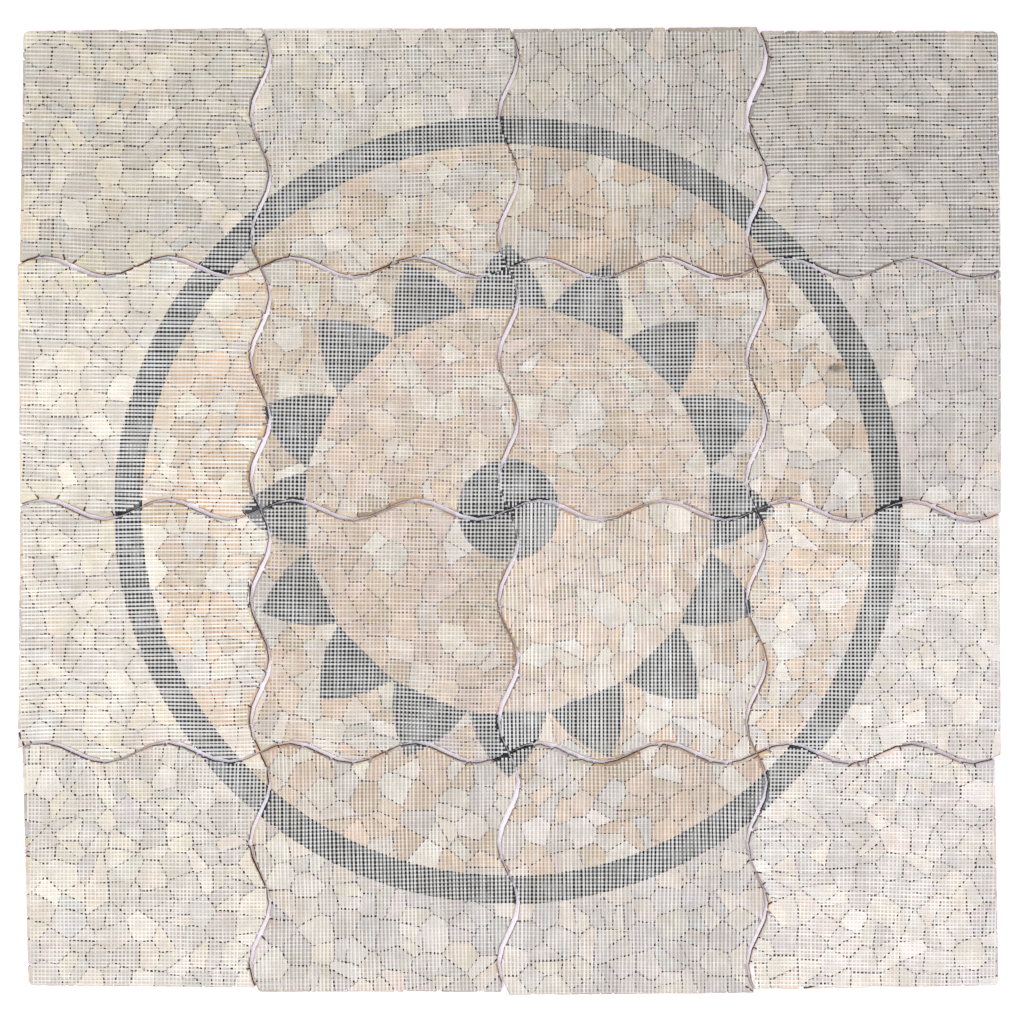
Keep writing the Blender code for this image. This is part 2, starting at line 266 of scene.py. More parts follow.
# Flat shapes.


def area(loop):
    """The area within a loop, negative if the loop is clockwise."""
    total = 0
    for (ax, ay), (bx, by) in zip(loop, [*loop[1:], loop[0]]):
        total += ax * by - bx * ay
    return total / 2


def middle(loop):
    """The mean of a loop's points."""
    return Vector((sum(p[0] for p in loop) / len(loop), sum(p[1] for p in loop) / len(loop)))


def offset(loop, distance, limit=3.0):
    """The anticlockwise loop with each side moved out by a distance, or in if it is negative."""
    moved = []
    count = len(loop)
    for i in range(count):
        here = Vector(loop[i])
        before = (here - Vector(loop[i - 1])).normalized()
        after = (Vector(loop[(i + 1) % count]) - here).normalized()
        spread = Vector((before.y + after.y, -before.x - after.x))
        reach = min(2 / max(spread.length_squared, 1e-9), limit / max(spread.length, 1e-9))
        moved.append(tuple(here + spread * distance * reach))
    return moved


def ahead(angle, distance):
    """The point at a distance from the middle of the picture."""
    return PICTURE_MIDDLE + Vector((math.cos(angle), math.sin(angle))) * distance


def circle(radius):
    """A loop round the middle of the picture."""
    return [tuple(ahead(2 * math.pi * i / DISC_SIDES, radius)) for i in range(DISC_SIDES)]


def ray_outline(angle):
    """A pointed ray with bowed flanks that stands on the rim of the disc."""
    half = math.pi / RAY_COUNT - math.asin(RAY_FOOT_GAP / 2 / DISC_RADIUS)
    tip = ahead(angle, DISC_RADIUS + RAY_LENGTH)
    ends = [ahead(turn, DISC_RADIUS) for turn in (angle + half, angle - half)]
    loop = []
    for start, end in ((ends[1], tip), (tip, ends[0])):
        run = end - start
        out = Vector((run.y, -run.x)).normalized() * RAY_BULGE
        loop += [start + run * s + out * (4 * s * (1 - s)) for s in (0, 1 / 3, 2 / 3)]
    return [tuple(p) for p in (*loop, ends[0])]


def cut(loops):
    """Cuts overlapping loops into triangles, each with the numbers of the loops that it lies in."""
    points = []
    faces = []
    for loop in loops:
        faces.append(list(range(len(points), len(points) + len(loop))))
        points += [Vector(p) for p in (loop if area(loop) > 0 else reversed(loop))]
    flat, _, triangles, _, _, inside = delaunay_2d_cdt(points, [], faces, 0, WELD)
    return [tuple(p) for p in flat], triangles, [set(i) for i in inside]


def rims(points, triangles, chosen):
    """The loops round the chosen triangles: anticlockwise outside, clockwise round a hole."""
    edges = set()
    for t in chosen:
        a, b, c = triangles[t]
        edges |= {(a, b), (b, c), (c, a)}
    follow = {}
    for a, b in sorted(edges):
        if (b, a) not in edges:
            follow.setdefault(a, []).append(b)
    loops = []
    while follow:
        start = min(follow)
        loop = []
        here = start
        while here in follow:
            loop.append(points[here])
            nexts = follow[here]
            after = nexts.pop()
            if not nexts:
                del follow[here]
            here = after
        loops.append(loop)
    return sorted(loops, key=lambda loop: -abs(area(loop)))


def islands(triangles, labels):
    """Groups the labelled triangles into those of one label that join edge to edge."""
    owner = {}
    for t in labels:
        loop = triangles[t]
        for i in range(3):
            owner.setdefault(frozenset((loop[i], loop[i - 1])), []).append(t)
    links = {t: [] for t in labels}
    for pair in owner.values():
        if len(pair) == 2 and labels[pair[0]] == labels[pair[1]]:
            links[pair[0]].append(pair[1])
            links[pair[1]].append(pair[0])
    groups = []
    left = set(labels)
    while left:
        group = set()
        queue = [min(left)]
        while queue:
            t = queue.pop()
            if t not in group:
                group.add(t)
                queue += links[t]
        left -= group
        groups.append(sorted(group))
    return groups


def label_of(row, column):
    """What a sheet's name ends with: its row from the top and its column from the left."""
    return f"r{row + 1}c{column + 1}"


def ground_loops(node):
    """The loops round a CAD node's faces on the ground, the outer one first and anticlockwise."""
    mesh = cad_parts[node].data
    keys = [(round(v.co.x, 5), round(v.co.y, 5)) for v in mesh.vertices]
    numbers = {}
    for key in keys:
        numbers.setdefault(key, len(numbers))
    triangles = []
    for face in mesh.polygons:
        if all(mesh.vertices[i].co.z < WELD for i in face.vertices):
            triangles.append([numbers[keys[i]] for i in reversed(face.vertices)])
    triangles = [t for t in triangles if len(set(t)) == 3]
    return rims(list(numbers), triangles, range(len(triangles)))


def in_loops(points, loops):
    """Which of an array of points lie inside a set of loops and outside their holes."""
    inside = np.zeros(len(points), bool)
    x, y = points[:, 0], points[:, 1]
    for loop in loops:
        for (ax, ay), (bx, by) in zip(loop, [*loop[1:], loop[0]]):
            if ay != by:
                crossed = ((ay > y) != (by > y)) & (x < (bx - ax) * (y - ay) / (by - ay) + ax)
                inside ^= crossed
    return inside


def clip(loop, point, normal):
    """The part of a loop that lies behind a line through a point."""
    kept = []
    sides = [(Vector(p) - point).dot(normal) for p in loop]
    for i, p in enumerate(loop):
        a, b = sides[i - 1], sides[i]
        if (a > 0) != (b > 0):
            before = Vector(loop[i - 1])
            kept.append(tuple(before + (Vector(p) - before) * (a / (a - b))))
        if b <= 0:
            kept.append(p)
    return kept


# Chips.


def seeds_in(samples, rng):
    """Middles for chips: random places at uneven distances, then evened out a little."""
    order = list(range(len(samples)))
    rng.shuffle(order)
    seeds = []
    gaps = []
    for i in order:
        gap = rng.uniform(*CHIP_GAPS)
        x, y = samples[i]
        if all((x - s[0]) ** 2 + (y - s[1]) ** 2 > min(gap, g) ** 2 for s, g in zip(seeds, gaps)):
            seeds.append((x, y))
            gaps.append(gap)
    places = np.array(seeds)
    for _ in range(RELAX_ROUNDS):
        nearest = np.argmin(((samples[:, None] - places[None]) ** 2).sum(2), axis=1)
        for k in range(len(places)):
            mine = samples[nearest == k]
            if len(mine):
                places[k] += (mine.mean(0) - places[k]) * RELAX_PULL
    return [Vector(p) for p in places]


def half_joint(rng):
    """Half the width of a joint: most are narrow and a few are wide."""
    narrow, wide = HALF_JOINTS
    return narrow + (wide - narrow) * rng.random() ** 2


def cells(seeds, low, high, rng):
    """The ground nearest to each seed, less half a joint, inside a box. Some seeds reach further."""
    found = []
    weights = [rng.uniform(0, CHIP_WEIGHT) for _ in seeds]
    for i, seed in enumerate(seeds):
        loop = [(low[0], low[1]), (high[0], low[1]), (high[0], high[1]), (low[0], high[1])]
        order = sorted(range(len(seeds)), key=lambda k: (seeds[k] - seed).length_squared)
        for k in order[1 : NEIGHBOURS + 1]:
            run = seeds[k] - seed
            normal = run.normalized()
            shift = (weights[i] - weights[k]) / (2 * run.length) - half_joint(rng)
            loop = clip(loop, seed + run / 2 + normal * shift, normal)
        if len(loop) > 2 and area(loop) > SPLIT_AREA and rng.random() < SPLIT_SHARE:
            found += split(loop, rng)
        elif len(loop) > 2:
            found.append(loop)
    return found


def split(loop, rng):
    """A chip broken in two across its middle."""
    turn = rng.uniform(0, math.pi)
    normal = Vector((math.cos(turn), math.sin(turn)))
    joint = normal * half_joint(rng)
    halves = [clip(loop, middle(loop) - joint, normal), clip(loop, middle(loop) + joint, -normal)]
    return [half for half in halves if len(half) > 2]


def chips_in(region, rng):
    """The outlines of the chips that pave a region, given as its rims."""
    corners = np.array(region[0])
    low, high = corners.min(0), corners.max(0)
    xs = np.arange(low[0], high[0], SAMPLE_STEP) + SAMPLE_STEP / 2
    ys = np.arange(low[1], high[1], SAMPLE_STEP) + SAMPLE_STEP / 2
    samples = np.stack(np.meshgrid(xs, ys), -1).reshape(-1, 2)
    samples = samples[in_loops(samples, region)]
    if len(samples) < 3:
        return [region[0]]
    margin = (high - low) * BOX_MARGIN_SHARE + BOX_MARGIN
    pieces = cells(seeds_in(samples, rng), low - margin, high + margin, rng)
    points, triangles, inside = cut([*region, *pieces])
    holes = set(range(1, len(region)))
    labels = {}
    for t, marks in enumerate(inside):
        if 0 in marks and not marks & holes:
            cell = marks - {0}
            if cell:
                labels[t] = max(cell)
    outlines = []
    for group in islands(triangles, labels):
        loop = rims(points, triangles, group)[0]
        if area(loop) > LEAST_CHIP:
            outlines.append(loop)
    return outlines


def panel_corners():
    """The panel's four corners, each the furthest point of its sheet from the middle."""
    found = []
    for row, column in ((0, 0), (0, SHEETS - 1), (SHEETS - 1, 0), (SHEETS - 1, SHEETS - 1)):
        outline = ground_loops(f"sheet_{label_of(row, column)}")[0]
        found.append(max((Vector(p) for p in outline), key=lambda p: p.length))
    return found


PANEL_CORNERS = panel_corners()


def at_corner(spot):
    """Whether a point is at one of the panel's four corners."""
    return any((spot - corner).length < CORNER_REACH for corner in PANEL_CORNERS)


def nipped(loop, rng):
    """The outline of a broken stone: straight breaks, nipped corners and slightly rough edges."""
    corners = [Vector(p) for p in loop]
    kept = []
    for p in corners:
        if not kept or (p - kept[-1]).length > SHORT_EDGE:
            kept.append(p)
    while len(kept) > 3 and (kept[0] - kept[-1]).length < SHORT_EDGE:
        kept.pop()
    rounded = []
    softest, hardest = SOFT_BENDS
    count = len(kept)
    for i, here in enumerate(kept):
        before, after = kept[i - 1] - here, kept[(i + 1) % count] - here
        bend = math.pi - before.angle(after, math.pi)
        cutback = min(rng.uniform(*NIP), before.length * NIP_LIMIT, after.length * NIP_LIMIT)
        if at_corner(here):
            cutback = min(CORNER_NIP, before.length * CORNER_LIMIT, after.length * CORNER_LIMIT)
            rounded.append(here + before.normalized() * cutback)
            rounded.append(here + (before + after).normalized() * cutback * CORNER_DEPTH)
            rounded.append(here + after.normalized() * cutback)
        elif bend > SHARP_BEND or (softest < bend < hardest and rng.random() < NIP_SHARE):
            rounded += [here + before.normalized() * cutback, here + after.normalized() * cutback]
        else:
            rounded.append(here)
    edge = []
    for i, start in enumerate(rounded):
        run = rounded[(i + 1) % len(rounded)] - start
        steps = max(1, round(run.length / EDGE_STEP))
        side = Vector((run.y, -run.x)).normalized() if run.length > 0 else Vector((0, 0))
        edge.append(tuple(start))
        for k in range(1, steps):
            rough = side * rng.uniform(*EDGE_SWINGS) * EDGE_ROUGHNESS
            edge.append(tuple(start + run * (k / steps) + rough))
    return edge


def placed(name, data):
    """A new object in the scene."""
    thing = bpy.data.objects.new(name, data)
    bpy.context.scene.collection.objects.link(thing)
    return thing


class Pile:
    """Gathers closed shapes into one mesh, with a tone and a place in the stone for each."""

    def __init__(self):
        self.verts = []
        self.faces = []
        self.tones = []
        self.grains = []

    def add(self, rings, tones, grains):
        """A closed shape through rings of equally many points, anticlockwise, from the bottom up.

        Each point has its own tone, and each ring its own grain.
        """
        first = len(self.verts)
        count = len(rings[0])
        for ring in rings:
            self.verts += ring
        for level in range(len(rings) - 1):
            low = first + level * count
            for i in range(count):
                j = (i + 1) % count
                self.faces.append((low + i, low + j, low + count + j, low + count + i))
        self.faces.append(tuple(reversed(range(first, first + count))))
        self.faces.append(tuple(range(len(self.verts) - count, len(self.verts))))
        for tone, grain in zip(tones, grains):
            self.tones += tone
            self.grains += [grain] * count

    def build(self, name, material):
        """Makes the piece, which rides on the part's only body."""
        mesh = bpy.data.meshes.new(name)
        mesh.from_pydata(self.verts, [], self.faces)
        for label, values in (("tone", self.tones), ("grain", self.grains)):
            layer = mesh.attributes.new(label, "FLOAT_VECTOR", "POINT")
            layer.data.foreach_set("vector", np.array(values, np.float32).ravel())
        mesh.materials.append(material)
        mesh.update()
        piece = placed(name, mesh)
        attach(piece, "root")
        return piece


def along_seams(points, seams):
    """Which of the points lie on the lines of the seams, given by their ends."""
    starts, runs = seams[:, 0], seams[:, 1] - seams[:, 0]
    away = np.array(points)[:, None] - starts
    share = np.clip((away * runs).sum(2) / (runs**2).sum(1), 0, 1)
    return (np.linalg.norm(away - runs * share[..., None], axis=2) < SEAM_REACH).any(1)


def stained_and_shaded(tone, spot):
    """A tone as it is at a seam: browner, partly from glue stain and partly a painted shade, more in
    some places than in others.
    """
    least, most = STAIN_AND_SHADE_SHARES
    wave = noise.noise(Vector((*spot, 0)) * STAIN_AND_SHADE_SCALE)
    share = least + (most - least) * min(1, max(0, 0.5 + STAIN_AND_SHADE_CONTRAST * wave))
    return tuple(c * (1 + (s - 1) * share) for c, s in zip(tone, SEAM_STAIN_AND_SHADE))


def inner_line(edge, below, at_seam):
    """The inner line of a stone's rim, further in at a seam.

    Where it would turn a side of the stone round, it stays nearer to the line below it.
    """
    narrow = offset(edge, -RIM, RIM_LIMIT)
    wide = offset(edge, -SEAM_RIM, RIM_LIMIT)
    line = [w if near else n for w, n, near in zip(wide, narrow, at_seam)]
    count = len(line)
    for safer in (narrow, below, below):
        for i in range(count):
            j = (i + 1) % count
            side = Vector(edge[j]) - Vector(edge[i])
            if (Vector(line[j]) - Vector(line[i])).dot(side) <= 0:
                line[i], line[j] = safer[i], safer[j]
    return line


def stone(pile, loop, top, tone, rng, seams=None):
    """A broken stone that stands on its finished face, with nipped rims and rough sides."""
    edge = nipped(loop, rng)
    at_seam = [False] * len(edge) if seams is None else along_seams(edge, seams)
    swell = [tuple(c + rng.uniform(-1, 1) * SIDE_SWELL for c in spot) for spot in edge]
    lip = [within(*spot) for spot in offset(edge, -LIP, RIM_LIMIT)]
    levels = (
        (0, offset(edge, -FACE_RIM, RIM_LIMIT)),
        (RIM, edge),
        (top * SWELL_HEIGHT, swell),
        (top - RIM, lip),
        (top, inner_line(edge, lip, at_seam)),
    )
    rings = [[(*within(x, y), z) for x, y in line] for z, line in levels]
    # Along a seam a stone's sides and rims take the browner tone: partly glue stain, partly painted
    # shade of the seam's edge.
    outer = [stained_and_shaded(tone, spot) if near else tone for spot, near in zip(edge, at_seam)]
    grain = tuple(rng.uniform(-GRAIN_SPREAD, GRAIN_SPREAD) for _ in range(3))
    pile.add(rings, [outer] * (len(rings) - 1) + [[tone] * len(edge)], [grain] * len(rings))


def within(x, y):
    """A point, kept inside the box of the solids."""
    low, high = CAD_BOX
    return min(max(x, low.x), high.x), min(max(y, low.y), high.y)


def tone_for(spot, label, rng):
    """A stone's colour: a random lot of its part of the picture, a little lighter or darker."""
    reach = (spot - PICTURE_MIDDLE).length
    part = "field" if reach > FIELD_RADIUS else "middle" if reach > DISC_RADIUS else "disc"
    colours = [colour for colour, _ in LOTS[part]]
    weights = [weight for _, weight in LOTS[part]]
    if part == "field":
        weights[0] *= 1 - CREAM_LOSS * min(1.0, max(0.0, spot.y + spot.x))
    colour = rng.choices(colours, weights)[0]
    # Painted shade: every chip is darkened a little for the shade of the mesh over it.
    shade = PAINTED_MESH_SHADE * rng.gauss(1, SHADE_SPREAD) * (1 + LIGHTNESS_DRIFT.dot(spot))
    shade *= PALER_SHEETS.get(label, 1) * DULLER_SHEETS.get(label, 1)
    red, green, blue = (c * shade * rng.gauss(1, TINT_SPREAD) for c in colour)
    return red, green, blue * (1 + BLUE_DRIFT.dot(spot))


def regions_of(label):
    """The parts of a sheet that chips pave, and any dark corners of rays that have no solid."""
    loops = ground_loops(f"sheet_{label}")
    disc = len(loops)
    lands = {i for i, loop in enumerate(loops) if area(loop) > 0}
    holes = set(range(disc)) - lands
    loops += [circle(DISC_RADIUS - INLAY_JOINT / 2), circle(DISC_RADIUS + INLAY_JOINT / 2)]
    corners = len(loops)
    for i in range(RAY_COUNT):
        outline = ray_outline(2 * math.pi * i / RAY_COUNT)
        loops += [offset(outline, -RAY_INSET), offset(outline, INLAY_JOINT - RAY_INSET)]
    points, triangles, inside = cut(loops)
    rays = set(range(corners, len(loops), 2))
    pockets = set(range(corners + 1, len(loops), 2))
    labels = {}
    dark = {}
    for t, marks in enumerate(inside):
        if not marks & lands or marks & holes:
            continue
        if marks & rays:
            dark[t] = 0
        elif disc in marks:
            labels[t] = 1
        elif disc + 1 not in marks:
            labels[t] = 0
    tips = []
    for group in islands(triangles, dark):
        loop = rims(points, triangles, group)[0]
        if min(area(loop), area(offset(loop, -LEAST_HALF_WIDTH))) > LEAST_CORNER:
            tips.append(loop)
            near = middle(loop)
            for t in list(labels):
                away = (Vector(points[triangles[t][0]]) - near).length
                if inside[t] & pockets and away < CORNER_POCKET:
                    del labels[t]
        else:
            labels.update({t: 0 for t in group})
    regions = [rims(points, triangles, group) for group in islands(triangles, labels)]
    return [r for r in regions if area(r[0]) > LEAST_CHIP], tips


def seams_of(label):
    """The sides of a sheet's outline that run along its seams, each given by its ends."""
    outline = whole_outline(label)
    sides = np.array(list(zip(outline, [*outline[1:], outline[0]])))
    return sides[np.linalg.norm(sides[:, 1] - sides[:, 0], axis=1) < SEAM_STEP]


def build_chips(label, rng, material):
    """Builds the chips of a sheet, and returns the outline and the tone of each."""
    regions, tips = regions_of(label)
    seams = seams_of(label)
    pile = Pile()
    stones = []
    for region in regions:
        for loop in chips_in(region, rng):
            tone = tone_for(middle(loop), label, rng)
            stones.append((loop, tone))
            stone(pile, loop, STONE_TOP - rng.uniform(0, TOP_DROP), tone, rng, seams)
    for loop in tips:
        stones.append((loop, DARK))
        stone(pile, loop, DARK_TOP, DARK, rng)
    piece = pile.build(f"chips_{label}", material)
    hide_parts(f"sheet_{label}")
    return stones


def build_dark(node, rng, material):
    """Builds the dark stone of a node, and returns its outline."""
    loop = ground_loops(node)[0]
    pile = Pile()
    stone(pile, loop, DARK_TOP, DARK, rng)
    piece = pile.build(f"stone_{node}", material)
    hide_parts(node)
    return loop


# Mesh.


def dark_nodes(label):
    """The nodes of the dark stones in a sheet."""
    nodes = sorted(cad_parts)
    return [node for node in nodes if node.endswith(label) and not node.startswith("sheet")]


def whole_outline(label):
    """The outline of a sheet with its dark stones in it."""
    loops = [loop for loop in ground_loops(f"sheet_{label}") if area(loop) > 0]
    for node in dark_nodes(label):
        loops.append(offset(ground_loops(node)[0], INLAY_JOINT + JOINT_OVERLAP))
    points, triangles, inside = cut(loops)
    chosen = [t for t, marks in enumerate(inside) if marks]
    return rims(points, triangles, chosen)[0]


def crossings(loop, start, along):
    """How far along a line from a start it crosses a loop, from low to high."""
    across = Vector((-along.y, along.x))
    found = []
    sides = [(Vector(p) - start).dot(across) for p in loop]
    for i, p in enumerate(loop):
        a, b = sides[i - 1], sides[i]
        if (a > 0) != (b > 0):
            before = Vector(loop[i - 1])
            found.append((before + (Vector(p) - before) * (a / (a - b)) - start).dot(along))
    return sorted(found)


def thread(pile, start, along, ends, layer, kind, glue, spans, rng, seed):
    """One flat thread of the mesh along its line, painted darker where it bridges a joint, as a
    painted shade of the open gap under it.

    The spans say where it lies over which tone. Its grain counts the threads that it crosses, and
    the seed says how it sways.
    """
    low, high = ends
    across = Vector((-along.y, along.x))
    half = rng.uniform(*THREAD_WIDTHS[kind]) / 2
    stray = rng.uniform(-1, 1) * THREAD_STRAY
    bottom = STONE_TOP if layer == 0 else (STONE_TOP + PANEL_TOP) / 2
    top = bottom + (PANEL_TOP - STONE_TOP) / 2
    stations = [(low, spans[0][2])]
    for (a, b, tone), after in zip(spans, [*spans[1:], None]):
        stations += [(place, tone) for place in (a, b) if low < place < high]
        # Painted shade: where the thread bridges a joint, its tone is darkened for the shadowed gap
        # under it.
        if after and low < b < after[0] < high:
            shade = rng.uniform(*PAINTED_JOINT_SHADES[glue]) / 2
            darker = tuple((c + d) * shade for c, d in zip(tone, after[2]))
            stations.append(((b + after[0]) / 2, darker))
    stations.append((high, spans[-1][2]))
    rings = []
    for place, _ in stations:
        spot = start + along * place
        sway = noise.noise_vector(Vector((spot.x, spot.y, seed)) * NET_SWAY_SCALE)
        spot = spot + Vector((sway.x, sway.y)) * NET_SWAY + across * stray
        left, right = within(*(spot + across * half)), within(*(spot - across * half))
        rings.append([(*left, bottom), (*right, bottom), (*right, top), (*left, top)])
    grains = [(place / THREAD_PITCH, 0, 0) for place, _ in stations]
    pile.add(rings, [[tone] * 4 for _, tone in stations], grains)


def shared(spans, others):
    """The stretches that two lists of stretches have in common, each given by its ends in turn."""
    found = []
    for a, b in zip(spans[::2], spans[1::2]):
        for c, d in zip(others[::2], others[1::2]):
            if max(a, c) < min(b, d):
                found.append((max(a, c), min(b, d)))
    return found


def spans_of(lines, centre, along, stones, covers):
    """Where each line of threads lies over a stone, and the thread's tone there."""
    across = Vector((-along.y, along.x))
    last = max(lines)
    spans = {k: [] for k in lines}
    for loop, tone in stones:
        yarn = THREAD_ON_DARK if tone == DARK else THREAD
        places = [(Vector(p) - centre).dot(across) / THREAD_PITCH for p in loop]
        first, final = math.ceil(min(places)), math.floor(max(places))
        for k in range(max(-last, first), min(last, final) + 1):
            seen = tuple(c + (t - c) * covers[k] for c, t in zip(tone, yarn))
            ends = crossings(loop, lines[k], along)
            spans[k] += [(a, b, seen) for a, b in zip(ends[::2], ends[1::2])]
    return spans


def build_net(label, stones, material):
    """Builds the mesh of a sheet over its stones, given by their outlines and tones."""
    rng = random.Random("net " + label)
    outline = offset(whole_outline(label), -THREAD_MARGIN)
    slip = Vector((rng.uniform(-1, 1), rng.uniform(-1, 1))) * NET_SLIP
    slipped = [tuple(Vector(p) + slip) for p in outline]
    xs = [p[0] for p in outline]
    ys = [p[1] for p in outline]
    centre = Vector(((min(xs) + max(xs)) / 2, (min(ys) + max(ys)) / 2))
    reach = max(max(xs) - min(xs), max(ys) - min(ys))
    turn = math.radians(rng.uniform(-NET_TURN, NET_TURN))
    seed = rng.uniform(0, SWAY_SEEDS)
    glue = "much" if label in MUCH_GLUE else "little" if label in LITTLE_GLUE else "some"
    upright_layer = int(label in UPRIGHT_ON_TOP)
    pile = Pile()
    for upright in (True, False):
        kind = "even"
        if label in (*WEFT_UPRIGHT, *WEFT_LEVEL):
            kind = "weft" if upright == (label in WEFT_UPRIGHT) else "warp"
        cover = THREAD_COVER[glue] * (WARP_COVER if kind == "warp" else 1)
        angle = turn + (math.pi / 2 if upright else 0)
        along = Vector((math.cos(angle), math.sin(angle)))
        across = Vector((-along.y, along.x))
        layer = upright_layer if upright else 1 - upright_layer
        count = int(reach / THREAD_PITCH / 2) + 2
        lines = {k: centre + across * (k * THREAD_PITCH) for k in range(-count, count + 1)}
        covers = {k: cover * rng.gauss(1, COVER_SPREAD) for k in lines}
        spans = spans_of(lines, centre, along, stones, covers)
        for k, start in lines.items():
            whole = crossings(outline, start, along)
            for low, high in shared(whole, crossings(slipped, start, along)):
                low += rng.uniform(*THREAD_INSET)
                high -= rng.uniform(*THREAD_INSET)
                below = sorted(s for s in spans[k] if s[1] > low and s[0] < high)
                if high - low > LEAST_THREAD and below:
                    thread(pile, start, along, (low, high), layer, kind, glue, below, rng, seed)
    piece = pile.build(f"net_{label}", material)


# Materials.


class Shader:
    """A Principled material and the nodes that feed it."""

    def __init__(self, name, **numbers):
        self.material = bpy.data.materials.new(name)
        self.material.use_nodes = True
        self.tree = self.material.node_tree
        self.surface = self.tree.nodes["Principled BSDF"]
        for socket, value in numbers.items():
            self.surface.inputs[socket.replace("_", " ")].default_value = value
        self.coords = self.add("ShaderNodeTexCoord").outputs["Object"]

    def add(self, kind, settings=None, **sockets):
        """A new node. An underscore in a socket's name stands for a space."""
        node = self.tree.nodes.new(kind)
        for setting, value in (settings or {}).items():
            setattr(node, setting, value)
        for socket, value in sockets.items():
            self.feed(node.inputs[socket.replace("_", " ")], value)
        return node

    def feed(self, socket, value):
        if isinstance(value, bpy.types.NodeSocket):
            self.tree.links.new(value, socket)
        else:
            socket.default_value = value

    def attribute(self, name):
        return self.add("ShaderNodeAttribute", {"attribute_name": name}).outputs["Vector"]

    def moved(self, by):
        """The coordinates, moved by a vector so that each stone has its own grain."""
        node = self.add("ShaderNodeVectorMath", {"operation": "ADD"})
        self.feed(node.inputs[0], self.coords)
        self.feed(node.inputs[1], by)
        return node.outputs[0]

    def noise(self, coords, scale, detail, roughness, distortion=0.0):
        """Noise from 0 to 1. The scale is in waves to the metre."""
        node = self.add(
            "ShaderNodeTexNoise",
            Vector=coords,
            Scale=scale,
            Detail=detail,
            Roughness=roughness,
            Distortion=distortion,
        )
        return node.outputs["Fac"]

    def ramp(self, value, low, high, to_low=0.0, to_high=1.0):
        """A value that goes smoothly from one number to another as the given one rises."""
        node = self.add("ShaderNodeMapRange", {"interpolation_type": "SMOOTHSTEP"})
        for socket, number in zip(node.inputs[:5], (value, low, high, to_low, to_high)):
            self.feed(socket, number)
        return node.outputs[0]

    def tinted(self, colour, factors):
        return self.mix(1.0, colour, factors, "MULTIPLY")

    def first(self, vector):
        """The first number of a vector, which is the red of a colour."""
        return self.add("ShaderNodeSeparateXYZ", Vector=vector).outputs["X"]

    def sums(self, operation, a, b):
        node = self.add("ShaderNodeMath", {"operation": operation})
        self.feed(node.inputs[0], a)
        self.feed(node.inputs[1], b)
        return node.outputs[0]

    def absolute(self, value):
        return self.sums("ABSOLUTE", value, 0.0)

    def mix(self, share, a, b, blend="MIX"):
        node = self.add("ShaderNodeMix", {"data_type": "RGBA", "blend_type": blend})
        for number, value in ((0, share), (6, a), (7, b)):
            if isinstance(value, tuple):
                value = (*value, 1)
            self.feed(node.inputs[number], value)
        return node.outputs[2]

    def facing(self):
        """How far the surface faces up: 1 on top, 0 at the side and -1 underneath."""
        normal = self.add("ShaderNodeNewGeometry").outputs["Normal"]
        return self.add("ShaderNodeSeparateXYZ", Vector=normal).outputs["Z"]

    def finish(self, colour, roughness, height, depth, strength):
        """Joins up the material, with a bump of the height's kind."""
        self.feed(self.surface.inputs["Base Color"], colour)
        self.feed(self.surface.inputs["Roughness"], roughness)
        bump = self.add("ShaderNodeBump", Strength=strength, Distance=depth, Height=height)
        self.feed(self.surface.inputs["Normal"], bump.outputs["Normal"])
        return self.material


def glue_patches(shader):
    """Where the glue is thick enough to fill the mesh."""
    broad = shader.noise(shader.coords, 30.0, 3.0, 0.6)
    return shader.ramp(broad, 0.53, 0.66)


def patched(shader, colour):
    """A colour with the small dark patch on it."""
    node = shader.add("ShaderNodeMapping", {"vector_type": "TEXTURE"}, Vector=shader.coords)
    node.inputs["Location"].default_value = (*(PICTURE_MIDDLE + PATCH_PLACE), STONE_TOP)
    node.inputs["Scale"].default_value = (*PATCH_REACH, 0.1)
    away = shader.add("ShaderNodeVectorMath", {"operation": "LENGTH"})
    shader.feed(away.inputs[0], node.outputs["Vector"])
    rough = shader.sums("MULTIPLY", shader.noise(shader.coords, 170.0, 3.0, 0.7), 1.6)
    spread = shader.sums("ADD", away.outputs["Value"], rough)
    return shader.mix(shader.ramp(spread, 1.2, 2.1, 0.85, 0.0), colour, PATCH)


def grainy(shader, colour, own, depth):
    """The finished material of a stone, with a fine grit."""
    grit = shader.noise(own, 420.0, 2.0, 0.6)
    return shader.finish(colour, shader.ramp(grit, 0.3, 0.7, 0.5, 0.75), grit, depth, 0.6)


